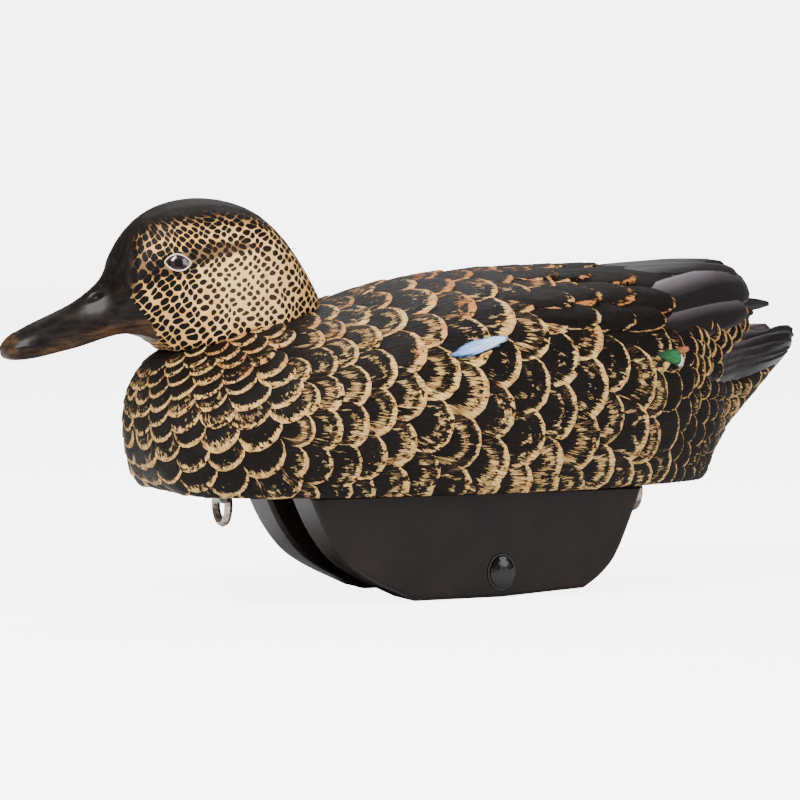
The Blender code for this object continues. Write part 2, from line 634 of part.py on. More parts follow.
def build_strap(end, first_screw):
    mesh = prism(strap_outline(), -STRAP_HALF_WIDTH, STRAP_HALF_WIDTH, "Y")
    strap = add_object("strap_" + end, mesh, decoy, steel)
    strap.location = Vector((RING_X[end], 0, BODY_BOTTOM_Z)) * MM
    for number, (x, y) in enumerate(strap_screw_places(end), first_screw):
        hole = upright(tapered_rod(SCREW_SHANK_R + GAP, 8.0, segments=12), x, y, BODY_BOTTOM_Z - 5)
        combine(strap, add_cutter(f"strap_hole_{number}", hole), "DIFFERENCE")
        head_z = BODY_BOTTOM_Z - 2 * GAP - STRAP_THICKNESS
        tip_z = BODY_BOTTOM_Z + STRAP_SCREW_REACH
        add_screw(f"strap_screw_{number}", x, y, head_z, STRAP_SCREW_HEAD_R, STRAP_SCREW_HEAD_H, tip_z)


for old in list(bpy.data.objects):
    bpy.data.objects.remove(old)
decoy = make_collection("duck_decoy")
cutters = make_collection("cutters")

paint_body = material("paint_body", (0.05, 0.035, 0.028), 0.6)
paint_head = material("paint_head", (0.5, 0.4, 0.27), 0.6)
keel_plastic = material("keel_plastic", (0.03, 0.022, 0.019), 0.5)
plug_rubber = material("plug_rubber", (0.008, 0.008, 0.008), 0.25)
ballast_sand = material("ballast_sand", (0.45, 0.38, 0.28), 0.9)
eye_gloss = material("eye_gloss", (0.03, 0.015, 0.02), 0.08)
steel = material("steel", (0.45, 0.42, 0.4), 0.3, 1.0)

build_head()
build_body()
build_pan()
build_keel()
for ring_end, first_number in (("front", 1), ("rear", 3)):
    build_ring(ring_end)
    build_strap(ring_end, first_number)
for built in bpy.data.objects:
    built.location.x += FRAME_SHIFT_X * MM
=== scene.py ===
"""Looks of the floating duck decoy: carved feathers, dotted head, glossy bill and fittings."""

import math
import random

import bmesh
import bpy
from mathutils import Matrix, Vector, noise
from mathutils.bvhtree import BVHTree


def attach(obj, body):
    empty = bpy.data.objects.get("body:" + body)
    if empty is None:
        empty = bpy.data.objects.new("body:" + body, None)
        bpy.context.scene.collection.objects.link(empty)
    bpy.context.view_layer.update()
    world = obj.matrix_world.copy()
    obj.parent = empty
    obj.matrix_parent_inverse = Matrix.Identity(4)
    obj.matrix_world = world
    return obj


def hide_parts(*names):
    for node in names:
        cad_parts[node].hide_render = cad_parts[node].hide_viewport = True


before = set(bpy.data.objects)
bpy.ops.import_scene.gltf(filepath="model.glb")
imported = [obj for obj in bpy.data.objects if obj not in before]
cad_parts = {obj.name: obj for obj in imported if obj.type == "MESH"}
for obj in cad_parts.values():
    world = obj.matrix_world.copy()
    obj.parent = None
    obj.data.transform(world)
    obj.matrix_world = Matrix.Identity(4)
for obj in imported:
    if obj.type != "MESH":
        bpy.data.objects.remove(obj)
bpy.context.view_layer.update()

MM = 0.001
HULL = "hull"
MIDDLE_X = -4.8  # where the maker's drawing has its zero, in mm along the frame's X
EYE_CENTRE, EYE_TURN, EYE_LIFT = (-97.2, 18.5, 126.6), 15.0, 11.0
EYE_RADIUS, EYE_HALF_DEPTH = 4.7, 1.7
BODY_BOTTOM_Z = 41.2
TAIL_GAP_Z = 101.5  # the gap between the tail and the wing tips
random.seed(7)


def at(x, y, z):
    """A place on the maker's drawing, in mm, as a place in the frame."""
    return Vector((x + MIDDLE_X, y, z)) * MM


# ---- shader maths -------------------------------------------------------------------------------
class Value:
    """A shader socket that takes part in Python expressions."""

    def __init__(self, paint, socket):
        self.paint = paint
        self.socket = socket

    def __add__(self, other):
        return self.paint.math("ADD", self, other)

    __radd__ = __add__

    def __sub__(self, other):
        return self.paint.math("SUBTRACT", self, other)

    def __rsub__(self, other):
        return self.paint.math("SUBTRACT", other, self)

    def __mul__(self, other):
        return self.paint.math("MULTIPLY", self, other)

    __rmul__ = __mul__

    def __truediv__(self, other):
        return self.paint.math("DIVIDE", self, other)


class Paint:
    """One material, built from expressions."""

    def __init__(self, name):
        self.material = bpy.data.materials.new(name)
        self.material.use_nodes = True
        self.tree = self.material.node_tree
        self.shader = self.tree.nodes["Principled BSDF"]

    def node(self, kind, settings=None, output=0, **inputs):
        made = self.tree.nodes.new(kind)
        for key, value in (settings or {}).items():
            setattr(made, key, value)
        for key, value in inputs.items():
            name = key.replace("_", " ")
            socket = made.inputs[int(key[1:])] if key[1:].isdigit() else made.inputs[name]
            self.feed(socket, value)
        return Value(self, made.outputs[output])

    def feed(self, socket, value):
        if isinstance(value, Value):
            self.tree.links.new(value.socket, socket)
        elif isinstance(value, tuple) and len(value) == 3 and socket.type == "RGBA":
            socket.default_value = (*value, 1.0)
        else:
            socket.default_value = value

    def math(self, operation, first, second=0.0):
        return self.node("ShaderNodeMath", {"operation": operation}, i0=first, i1=second)

    def step(self, value, low, high):
        """0 below low, 1 above high, and smooth between."""
        settings = {"interpolation_type": "SMOOTHSTEP"}
        return self.node("ShaderNodeMapRange", settings, Value=value, From_Min=low, From_Max=high)

    def mix(self, first, second, factor):
        settings = {"data_type": "RGBA"}
        return self.node("ShaderNodeMix", settings, output=2, i0=factor, i6=first, i7=second)

    def vector(self, x, y, z=0.0):
        return self.node("ShaderNodeCombineXYZ", X=x, Y=y, Z=z)

    def parts(self, vector):
        split = self.node("ShaderNodeSeparateXYZ", Vector=vector).socket.node
        return [Value(self, split.outputs[i]) for i in range(3)]

    def noise(self, vector, scale=1.0, detail=2.0, rough=0.5):
        return self.node("ShaderNodeTexNoise", Vector=vector, Scale=scale, Detail=detail, Roughness=rough)

    def object_place(self):
        """Object coordinates in mm on the maker's drawing."""
        place = self.node("ShaderNodeTexCoord", output=3)
        x, y, z = self.parts(place)
        return x * 1000.0 - MIDDLE_X, y * 1000.0, z * 1000.0

    def uv(self, name):
        return self.node("ShaderNodeUVMap", {"uv_map": name})

    def painted(self, layer):
        """Three values that each vertex carries in a layer of this name."""
        return self.node("ShaderNodeVertexColor", {"layer_name": layer})

    def bump(self, height, strength, distance):
        return self.node("ShaderNodeBump", Strength=strength, Distance=distance, Height=height)

    def finish(self, colour, roughness, metallic=0.0, normal=None, **constants):
        self.feed(self.shader.inputs["Base Color"], colour)
        self.feed(self.shader.inputs["Roughness"], roughness)
        self.feed(self.shader.inputs["Metallic"], metallic)
        if normal is not None:
            self.feed(self.shader.inputs["Normal"], normal)
        for key, value in constants.items():
            self.shader.inputs[key.replace("_", " ")].default_value = value
        return self.material


def srgb(red, green, blue):
    """A paint swatch given as 0 to 255 values."""
    def linear(share):
        return ((share + 0.055) / 1.055) ** 2.4 if share > 10 / 255 else share / 12.92

    return tuple(linear(value / 255) for value in (red, green, blue))


# ---- materials ----------------------------------------------------------------------------------
DARK_BROWN, BLACK_BROWN = srgb(24, 17, 14), srgb(9, 7, 6)
BUFF, PALE_BUFF, ORANGE_BUFF = srgb(218, 162, 88), srgb(238, 200, 132), srgb(198, 124, 66)


def feather_paint(name, gloss=0.46):
    """Painted scallop feather: dark with a ragged buff rim, an inner crescent and fine barbs."""
    paint = Paint(name)
    across, along, _ = paint.parts(paint.uv("feather"))
    chance, rim_width, crescent_share = paint.parts(paint.painted("paint"))
    warmth, worn, flank = paint.parts(paint.painted("tone"))
    down = across * (1.0 - flank * 2.0)
    out = paint.math("SQRT", across * across + along * along)
    fan = across / (along + 1.9)
    barbs = paint.noise(paint.vector(fan * 46.0, out * 2.6, chance * 37.0), 1.0, 3.0, 0.65)
    fine = paint.noise(paint.vector(fan * 105.0, out * 3.4, chance * 11.0), 1.0, 2.0)
    broad = paint.noise(paint.vector(fan * 4.2, chance * 91.0, out * 0.6), 1.0, 1.0)
    blots = paint.noise(paint.vector(fan * 13.0, out * 5.0, chance * 53.0), 1.0, 3.0, 0.6)
    forward = paint.step(along + down * 0.6, -0.45, 0.95)
    inner = 1.0 - rim_width * (0.12 + forward * 0.95) * (0.15 + broad * 1.4 + (barbs - 0.5) * 2.4)
    rim = paint.step(out - inner, -0.012, 0.02) * paint.step(blots, 0.3 + worn * 0.24, 0.35 + worn * 0.24)
    rim = rim * paint.step(along + (chance - 0.5) * 0.5, -0.4, -0.2)
    ring = 0.46 + chance * 0.14 + (broad - 0.5) * 0.3
    band = (0.1 + (barbs - 0.5) * 0.95 + (broad - 0.5) * 0.3) * paint.step(along + down * 0.3, -0.25, 0.4)
    offset = paint.math("ABSOLUTE", out - ring)
    crescent = paint.step(band - offset, -0.012, 0.02) * paint.step(blots + crescent_share, 0.94, 1.0)
    crescent = crescent * paint.step(fine + (barbs - 0.5) * 0.5, 0.4, 0.5)
    fingers = paint.step(fine, 0.55, 0.59) * paint.step(out, ring, 0.85)
    fingers = fingers * paint.step(crescent_share + broad, 0.85, 1.05)
    fingers = fingers * paint.step(blots, 0.46, 0.54) * paint.step(along, -0.2, 0.2)
    light = paint.math("MAXIMUM", paint.math("MAXIMUM", rim, crescent), fingers * 0.8)
    under = paint.mix(BLACK_BROWN, DARK_BROWN, paint.step(fine + (broad - 0.5) * 0.4, 0.3, 0.75))
    over = paint.mix(BUFF, PALE_BUFF, paint.step(barbs + (blots - 0.5), 0.35, 0.7))
    rusty = warmth + (broad - 0.5) * 0.9 + (blots - 0.5) * 0.4
    over = paint.mix(over, ORANGE_BUFF, paint.step(rusty, 0.35, 0.85))
    over = paint.mix(over, srgb(70, 46, 30), paint.step(fine + (barbs - 0.5) * 0.3, 0.52, 0.62) * 0.8)
    colour = paint.mix(under, over, light)
    height = fine * 0.7 + barbs * 0.5 + light * 0.4
    normal = paint.bump(height, 0.8, 0.0007)
    return paint.finish(colour, gloss + light * 0.1, normal=normal, Specular_IOR_Level=0.1)


def base_paint():
    """The body's dark undercoat between the feathers."""
    paint = Paint("body_undercoat")
    x, y, z = paint.object_place()
    grain = paint.noise(paint.vector(x * 0.25, y, z), 1.4, 4.0)
    colour = paint.mix(BLACK_BROWN, DARK_BROWN, paint.step(grain, 0.35, 0.75))
    return paint.finish(colour, 0.6, normal=paint.bump(grain, 0.4, 0.0004), Specular_IOR_Level=0.1)


def quill_paint(name, dark, pale, edge, gloss, ridge=0.7):
    """A long smooth wing or tail feather: barbs slant off a raised shaft, a painted highlight in the pale
    colour lies over its upper half, and its lower edge is painted pale.
    """
    paint = Paint(name)
    across, along, _ = paint.parts(paint.uv("feather"))
    chance, flank, _ = paint.parts(paint.painted("paint"))
    up = across * (flank * 2.0 - 1.0)
    side = paint.math("ABSOLUTE", across)
    slant = along * 26.0 - side * 9.0
    barbs = paint.noise(paint.vector(slant * 1.6, side * 0.7, chance * 30.0), 1.0, 3.0, 0.65)
    cloud = paint.noise(paint.vector(across * 1.6, along * 1.2, chance * 70.0), 1.0, 2.0)
    # painted highlight: the feather's upper half is lightened towards the pale colour, as if lit from
    # above; ridge sets how strong this painted highlight is
    top_highlight = paint.step(up + (barbs - 0.5) * 0.3 + (cloud - 0.5) * 0.5, -0.1, 0.95) * ridge
    lower = 1.0 - paint.step(up + (barbs - 0.5) * 0.06, -0.98, -0.93)
    shaft = 1.0 - paint.step(side, 0.015, 0.04)
    colour = paint.mix(dark, pale, top_highlight)
    colour = paint.mix(colour, dark, paint.step(barbs, 0.5, 0.72) * 0.45)
    colour = paint.mix(colour, edge, lower * paint.step(cloud, 0.42, 0.55) * 0.8)
    height = barbs * 0.6 + shaft * 0.5
    normal = paint.bump(height, 0.4, 0.0004)
    return paint.finish(colour, gloss + barbs * 0.14, normal=normal, Specular_IOR_Level=0.3)


def patch_paint(name, colour, pale):
    """A brushed patch of bright wing colour with ragged barbs."""
    paint = Paint(name)
    across, along, _ = paint.parts(paint.uv("feather"))
    barbs = paint.noise(paint.vector(across * 9.0, along * 1.6), 1.0, 3.0, 0.7)
    out = paint.math("SQRT", across * across + along * along)
    mixed = paint.mix(colour, pale, paint.step(barbs + along * 0.12, 0.42, 0.62))
    mixed = paint.mix(mixed, BLACK_BROWN, paint.step(out + (barbs - 0.5) * 1.9, 0.84, 0.92))
    return paint.finish(mixed, 0.4, normal=paint.bump(barbs, 0.4, 0.0004), Specular_IOR_Level=0.3)


def head_paint():
    """Fine dark dots on buff, a dark cap and eye stripe, and the glossy bill."""
    paint = Paint("painted_head")
    cap, stripe, bill = paint.parts(paint.painted("marks"))
    sparse, lower, dent = paint.parts(paint.painted("bill"))
    u, v, _ = paint.parts(paint.uv("scales"))
    x, y, z = paint.object_place()
    here = paint.vector(x, y, z)
    warp = paint.noise(here, 0.11, 2.0)
    place = paint.vector(u + (warp - 0.5) * 2.2, v + (warp - 0.5) * 1.4)
    flat = {"voronoi_dimensions": "2D", "feature": "F1"}
    dots = paint.node("ShaderNodeTexVoronoi", flat, Vector=place, Scale=1.0, Randomness=0.4)
    edges = {"voronoi_dimensions": "2D", "feature": "DISTANCE_TO_EDGE"}
    seams = paint.node("ShaderNodeTexVoronoi", edges, Vector=place, Scale=1.0, Randomness=0.4)
    ragged = paint.noise(here, 1.9, 3.0, 0.7)
    broad = paint.noise(here, 0.16, 2.0)
    crowd = paint.math("MAXIMUM", paint.step(cap, 0.0, 0.42), paint.step(stripe, 0.2, 0.5)) * 0.05
    line = 0.06 + sparse * 0.05 - crowd + (ragged - 0.5) * 0.1
    radius = 0.46 - sparse * 0.15 + crowd + (ragged - 0.5) * 0.1
    dark = paint.step(seams - line, -0.02, 0.025) * (1.0 - paint.step(dots - radius, -0.02, 0.03))
    strands = paint.noise(paint.vector(u * 0.5, v * 5.0), 1.0, 4.0, 0.65)
    covered = paint.step(cap + (broad - 0.5) * 0.2 + (ragged - 0.5) * 0.4, 0.4, 0.56)
    striped = paint.step(stripe + (ragged - 0.5) * 0.1, 0.44, 0.56)
    pale = paint.mix(BUFF, PALE_BUFF, paint.step(broad + (ragged - 0.5) * 0.4 + sparse * 0.4, 0.4, 0.85))
    pale = paint.mix(pale, srgb(196, 140, 96), paint.step(broad + (ragged - 0.5) * 0.5, 0.58, 0.75) * 0.6)
    browned = paint.math("MAXIMUM", striped * 0.85, paint.step(cap, 0.1, 0.5) * 0.8)
    pale = paint.mix(pale, srgb(84, 58, 42), browned)
    spot = paint.mix(BLACK_BROWN, srgb(74, 54, 38), paint.step(ragged * 0.7 + sparse * 0.4, 0.4, 0.85))
    feathered = paint.mix(pale, spot, dark)
    crown = paint.mix(BLACK_BROWN, srgb(62, 42, 30), paint.step(strands, 0.52, 0.74))
    feathered = paint.mix(feathered, crown, covered)
    smudge = paint.noise(paint.vector(x * 0.12, y * 0.3, z * 0.5), 1.0, 4.0, 0.6)
    horn = paint.mix(srgb(11, 9, 8), srgb(32, 24, 19), paint.step(smudge, 0.35, 0.75))
    olive = paint.mix(srgb(38, 29, 21), srgb(88, 60, 37), paint.step(smudge, 0.35, 0.75))
    horn = paint.mix(horn, olive, paint.step(lower + (smudge - 0.5) * 0.5, 0.35, 0.75) * 0.85)
    horn = paint.mix(horn, srgb(8, 6, 6), dent)
    beak = 1.0 - paint.step(bill + (ragged - 0.5) * 0.03, 0.49, 0.51)
    colour = paint.mix(feathered, horn, beak)
    rough = (1.0 - beak) * 0.5 + beak * (0.3 + smudge * 0.2)
    plumage = (1.0 - dark) * (1.0 - covered) + strands * covered * 0.8 + ragged * 0.25
    height = plumage * (1.0 - beak) + beak * smudge * 0.12
    paint.feed(paint.shader.inputs["Coat Weight"], beak * 0.09)
    normal = paint.bump(height, 0.7, 0.0006)
    return paint.finish(colour, rough, normal=normal, Specular_IOR_Level=0.1, Coat_Roughness=0.18)


def rim_paint():
    """The pale painted line round the eye."""
    paint = Paint("eye_rim")
    x, y, z = paint.object_place()
    brushed = paint.noise(paint.vector(x, y, z), 1.6, 3.0, 0.6)
    colour = paint.mix(srgb(176, 150, 120), srgb(236, 224, 206), paint.step(brushed, 0.3, 0.55))
    return paint.finish(colour, 0.4, normal=paint.bump(brushed, 0.2, 0.0002))


def eye_paint():
    """A dark glossy iris round a black pupil, under clear lacquer."""
    paint = Paint("eye_gloss")
    x, y, z = paint.object_place()
    dx, dz = x - EYE_CENTRE[0], z - EYE_CENTRE[2]
    out = paint.math("SQRT", dx * dx + dz * dz)
    rays = paint.noise(paint.vector(paint.math("ARCTAN2", dz, dx) * 9.0, out * 0.5), 1.0, 3.0, 0.6)
    iris = paint.mix(srgb(20, 12, 16), srgb(56, 40, 46), paint.step(rays, 0.35, 0.7))
    colour = paint.mix(srgb(3, 2, 3), iris, paint.step(out + (rays - 0.5) * 0.3, 1.45, 1.8))
    colour = paint.mix(colour, srgb(10, 7, 9), paint.step(out, 2.6, 3.8))
    return paint.finish(colour, 0.06 + rays * 0.04, normal=paint.bump(rays, 0.03, 0.0001), Coat_Weight=1.0)


def moulded_plastic(name, dark, pale, gloss, shine=0.24):
    """Satin moulded plastic with faint mottling and handling marks."""
    paint = Paint(name)
    x, y, z = paint.object_place()
    cloud = paint.noise(paint.vector(x, y, z), 0.05, 4.0, 0.6)
    grain = paint.noise(paint.vector(x, y, z), 2.6, 2.0)
    scuff = paint.noise(paint.vector(x * 0.06, y, z * 0.8), 1.1, 5.0, 0.7)
    marks = paint.step(scuff, 0.62, 0.72)
    colour = paint.mix(paint.mix(dark, pale, paint.step(cloud, 0.35, 0.7)), pale, marks * 0.35)
    rough = gloss + (cloud - 0.5) * 0.16 + marks * 0.08
    normal = paint.bump(grain + scuff * 0.5, 0.12, 0.0003)
    return paint.finish(colour, rough, normal=normal, Specular_IOR_Level=shine)


def plated_wire():
    paint = Paint("nickel_plated_wire")
    x, y, z = paint.object_place()
    cloud = paint.noise(paint.vector(x, y, z), 0.5, 3.0)
    fine = paint.noise(paint.vector(x, y, z), 4.0, 3.0, 0.7)
    colour = paint.mix(srgb(188, 178, 166), srgb(120, 106, 92), paint.step(cloud, 0.4, 0.72))
    return paint.finish(colour, 0.16 + fine * 0.16, 1.0, normal=paint.bump(fine, 0.08, 0.0002))


def zinc_steel():
    paint = Paint("zinc_steel")
    x, y, z = paint.object_place()
    crystals = paint.node(
        "ShaderNodeTexVoronoi", {"feature": "F1"}, output=1, Vector=paint.vector(x, y, z), Scale=0.8
    )
    tone = paint.parts(crystals)[0]
    colour = paint.mix(srgb(148, 148, 146), srgb(186, 188, 190), tone)
    return paint.finish(colour, 0.3 + tone * 0.15, 1.0, normal=paint.bump(tone, 0.1, 0.0002))


def packed_sand():
    paint = Paint("packed_sand")
    x, y, z = paint.object_place()
    grains = paint.noise(paint.vector(x, y, z), 3.0, 4.0, 0.8)
    colour = paint.mix(srgb(150, 128, 96), srgb(206, 188, 150), paint.step(grains, 0.35, 0.65))
    return paint.finish(colour, 0.9, normal=paint.bump(grains, 0.8, 0.0006))


# ---- meshes -------------------------------------------------------------------------------------
def as_piece(name, bm, material, body=HULL, crease=50):
    mesh = bpy.data.meshes.new(name)
    bm.to_mesh(mesh)
    bm.free()
    mesh.shade_smooth()
    mesh.set_sharp_from_angle(angle=math.radians(crease))
    mesh.materials.append(material)
    piece = bpy.data.objects.new(name, mesh)
    bpy.context.scene.collection.objects.link(piece)
    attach(piece, body)
    return piece


def merged_copy(node):
    bm = bmesh.new()
    bm.from_mesh(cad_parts[node].data)
    bmesh.ops.remove_doubles(bm, verts=bm.verts, dist=0.02 * MM)
    return bm


def outer_only(bm, blockers):
    """Drops the faces of a hollow shell that look into it, and closes what is left."""
    trees = [BVHTree.FromBMesh(bm)] + [BVHTree.FromBMesh(merged_copy(node)) for node in blockers]
    hidden = []
    clear, reach = 0.05 * MM, 200 * MM
    bm.normal_update()
    for face in bm.faces:
        start = face.calc_center_median() + face.normal * clear
        if any(tree.ray_cast(start, face.normal, reach)[0] for tree in trees):
            hidden.append(face)
    bmesh.ops.delete(bm, geom=hidden, context="FACES")
    loose = [v for v in bm.verts if not v.link_faces]
    bmesh.ops.delete(bm, geom=loose, context="VERTS")
    rims = [e for e in bm.edges if e.is_boundary]
    bmesh.ops.holes_fill(bm, edges=rims, sides=0)
    bmesh.ops.triangulate(bm, faces=bm.faces)
    bmesh.ops.recalc_face_normals(bm, faces=bm.faces)


def smoothed(bm, verts, times):
    for _ in range(times):
        bmesh.ops.smooth_vert(
            bm, verts=verts, factor=0.5, use_axis_x=True, use_axis_y=True, use_axis_z=True
        )


def remeshed(bm, voxel, smoothing):
    """The same form as one even, smoothed skin."""
    mesh = bpy.data.meshes.new("skin")
    bm.to_mesh(mesh)
    bm.free()
    helper = bpy.data.objects.new("skin", mesh)
    bpy.context.scene.collection.objects.link(helper)
    grid = helper.modifiers.new("grid", "REMESH")
    grid.mode = "VOXEL"
    grid.voxel_size = voxel * MM
    graph = bpy.context.evaluated_depsgraph_get()
    made = bpy.data.meshes.new_from_object(helper.evaluated_get(graph))
    bpy.data.objects.remove(helper)
    skin = bmesh.new()
    skin.from_mesh(made)
    bpy.data.meshes.remove(made)
    smoothed(skin, skin.verts[:], smoothing)
    skin.normal_update()
    return skin


# ---- feathers -----------------------------------------------------------------------------------
def feather_blank(segments, insets):
    """One flat round pad, closed, with its unit-disc place kept as UV; its top is at z = 1."""
    bm = bmesh.new()
    bmesh.ops.create_cone(bm, cap_ends=True, segments=segments, radius1=1.0, radius2=1.0, depth=1.0)
    bmesh.ops.translate(bm, vec=(0, 0, 0.5), verts=bm.verts)
    top = max(bm.faces, key=lambda face: face.calc_center_median().z)
    for width in insets:
        bmesh.ops.inset_region(bm, faces=[top], thickness=width, use_even_offset=True)
    layer = bm.loops.layers.uv.new("feather")
    for face in bm.faces:
        for loop in face.loops:
            loop[layer].uv = loop.vert.co.xy
    mesh = bpy.data.meshes.new("feather_blank")
    bm.to_mesh(mesh)
    bm.free()
    return mesh


class Coat:
    """Feathers of one kind, laid on a skin and gathered in one piece."""

    def __init__(self, skin_tree, blank):
        self.tree = skin_tree
        self.blank = blank
        self.bm = bmesh.new()
        self.info = self.bm.verts.layers.float_color.new("paint")
        self.tone = self.bm.verts.layers.float_color.new("tone")
        self.bm.loops.layers.uv.new("feather")

    def lay(self, place, heading, width, tip, root, lift=0.9, rim=0.2, crescent=0.5, sink=0.6, crown=0.25,
            square=2.2, taper=0.0, thickness=0.9, warm=0.3, worn=0.2, ridge=0.0, narrow=0.35):
        """Lays a feather centred at place with its tip towards heading; sizes in mm."""
        _, normal, _, _ = self.tree.find_nearest(place)
        ahead = (heading - normal * heading.dot(normal)).normalized()
        beside = ahead.cross(normal)
        start = len(self.bm.verts)
        self.bm.from_mesh(self.blank)
        self.bm.verts.ensure_lookup_table()
        chance = random.random()
        for vert in self.bm.verts[start:]:
            x, y, top = vert.co
            radius = min(math.hypot(x, y), 1.0)
            angle = math.atan2(y, x)
            swell = (abs(math.cos(angle)) ** square + abs(math.sin(angle)) ** square) ** (-1 / square)
            x, y = x * swell, y * swell
            along = y * (tip if y > 0 else root)
            share = min(max((along + root) / (tip + root), 0.0), 1.0)
            half = width / 2 * (1 - taper * (share - 0.5))
            if y < 0:
                half *= 1 - narrow * y * y
            spot = place + (beside * x * half + ahead * along) * MM
            near, facing, _, _ = self.tree.find_nearest(spot)
            height = -sink + (lift + sink) * share ** 1.2
            height += crown * (1 - x * x) * (1 - radius * 0.5) + ridge * (1 - abs(x)) ** 2 * share
            if top < 0.5:
                height -= thickness + 0.4
            elif radius > 0.97:
                height -= 0.12 + 0.22 * lift
            vert.co = near + facing * height * MM
            vert.co.z = max(vert.co.z, (BODY_BOTTOM_Z + 0.15) * MM)
            vert[self.info] = (chance, rim, crescent, 1.0)
            vert[self.tone] = (warm, worn, 1.0 if place.y > 0 else 0.0, 1.0)

    def done(self, name, material):
        bmesh.ops.recalc_face_normals(self.bm, faces=self.bm.faces)
        as_piece(name, self.bm, material)


CROP = at(-96.0, 0.0, 112.0)  # the breast's feathers grow down and out from here
SIDE_LINE_Z = 101.0  # the wing's feathers lie above it, the flank's below
MIDLINE = 0.6 * MM  # how far past the middle a row is still followed
NEXT_IN_ROW = 0.88  # from one feather to the next along a row, as a share of the width


def shoulder_x(z):
    """Where the breast's feathers end and the side's begin."""
    return ramp(z, (42, -70), (80, -67), (110, -58))


def breast_growth(place):
    """The breast's rows lie where this is equal; it is the way grown from the crop, in metres."""
    off = place - CROP
    return math.sqrt(off.x ** 2 + 1.3 * (off.y ** 2 + off.z ** 2))


def side_growth(place):
    """The rows of the sides and the back stand almost upright, and follow each other towards the tail."""
    return place.x - MIDDLE_X * MM - 0.14 * (place.z - 75 * MM)


def hem_growth(place):
    """One row hangs along the body's lower edge."""
    return -place.z


def growth_slope(field, place):
    """The way the rows follow each other, as long as growth is fast there."""
    here = field(place)
    steps = [Vector(axis) * MM for axis in ((1, 0, 0), (0, 1, 0), (0, 0, 1))]
    return Vector([(field(place + step) - here) / MM for step in steps])


def contours(skin, grown, distance):
    """The lines of equal growth on the skin's left half, each from its upper end, as close points."""
    waiting = {}
    floor = (BODY_BOTTOM_Z + 0.8) * MM
    for edge in skin.edges:
        first, second = grown[edge.verts[0].index] - distance, grown[edge.verts[1].index] - distance
        if first * second < 0:
            point = edge.verts[0].co.lerp(edge.verts[1].co, first / (first - second))
            if point.y < MIDLINE and point.z > floor:
                waiting[edge] = point
    lines = []
    while waiting:
        start = next(iter(waiting))
        ends = []
        first_point = waiting.pop(start)
        for _ in range(2):
            tip, points = start, []
            while tip is not None:
                nearby = (edge for face in tip.link_faces for edge in face.edges if edge in waiting)
                tip = next(nearby, None)
                if tip is not None:
                    points.append(waiting.pop(tip))
            ends.append(points)
        line = ends[1][::-1] + [first_point] + ends[0]
        if line[0].z < line[-1].z:
            line.reverse()
        if len(line) > 8:
            lines.append(line)
    return lines


def along_line(points, spacing, offset):
    """Points at even steps along a line of many close points, with one near its end."""
    found, travelled, wanted = [], 0.0, offset
    smooth = []
    for i in range(0, len(points), 4):
        block = points[i:i + 4]
        smooth.append(sum(block, Vector()) / len(block))
    for a, b in zip(smooth, smooth[1:]):
        step = (b - a).length
        while step > 0 and travelled + step >= wanted:
            found.append(a.lerp(b, (wanted - travelled) / step))
            wanted += spacing
        travelled += step
    if found and (smooth[-1] - found[-1]).length > spacing * 0.45:
        found.append(smooth[-1])
    return found


def ramp(value, *stops):
    """Straight lines through (value, result) stops, level outside them."""
    for (a, x), (b, y) in zip(stops, stops[1:]):
        if value <= b:
            return x + (y - x) * min(max((value - a) / (b - a), 0.0), 1.0)
    return stops[-1][1]


def drawing(place):
    return place.x / MM - MIDDLE_X, place.y / MM, place.z / MM


ROWS = (
    # the field, its first and last row, then the rows' spacing and the feathers' width along it
    (hem_growth, -44.0, -43.0, ((0, 6.0),), ((0, 13.0),)),
    (breast_growth, 27.0, 114.0, ((30, 5.4), (60, 7.0), (90, 8.2)), ((30, 9.0), (50, 13.0), (90, 18.5))),
    (side_growth, -80.0, 168.0,
     ((-72, 7.0), (-52, 9.0), (-20, 12.0), (58, 12.4), (80, 9.0), (98, 5.8), (165, 5.0)),
     ((-72, 12.0), (-52, 17.0), (-22, 22.0), (60, 24.0), (80, 20.0), (96, 14.0), (114, 8.0))),
)


def lay_body_feathers(skin, coats):
    skin.verts.index_update()
    for field, distance, last, pitches, widths in ROWS:
        grown = [field(vert.co) for vert in skin.verts]
        row = 0
        while distance < last:
            pitch, width = ramp(distance, *pitches), ramp(distance, *widths)
            spacing = width * MM * NEXT_IN_ROW
            for line in contours(skin, grown, distance * MM):
                for spot in along_line(line, spacing, spacing / 2 * (row % 2)):
                    x, y, z = drawing(spot)
                    if (x > shoulder_x(z)) != (field is side_growth):
                        continue
                    lay_one(coats, field, spot, pitch, width)
                    if abs(y) > 1.5:
                        mirrored = Vector((spot.x, -spot.y, spot.z))
                        lay_one(coats, field, mirrored, pitch, width)
            distance += pitch
            row += 1


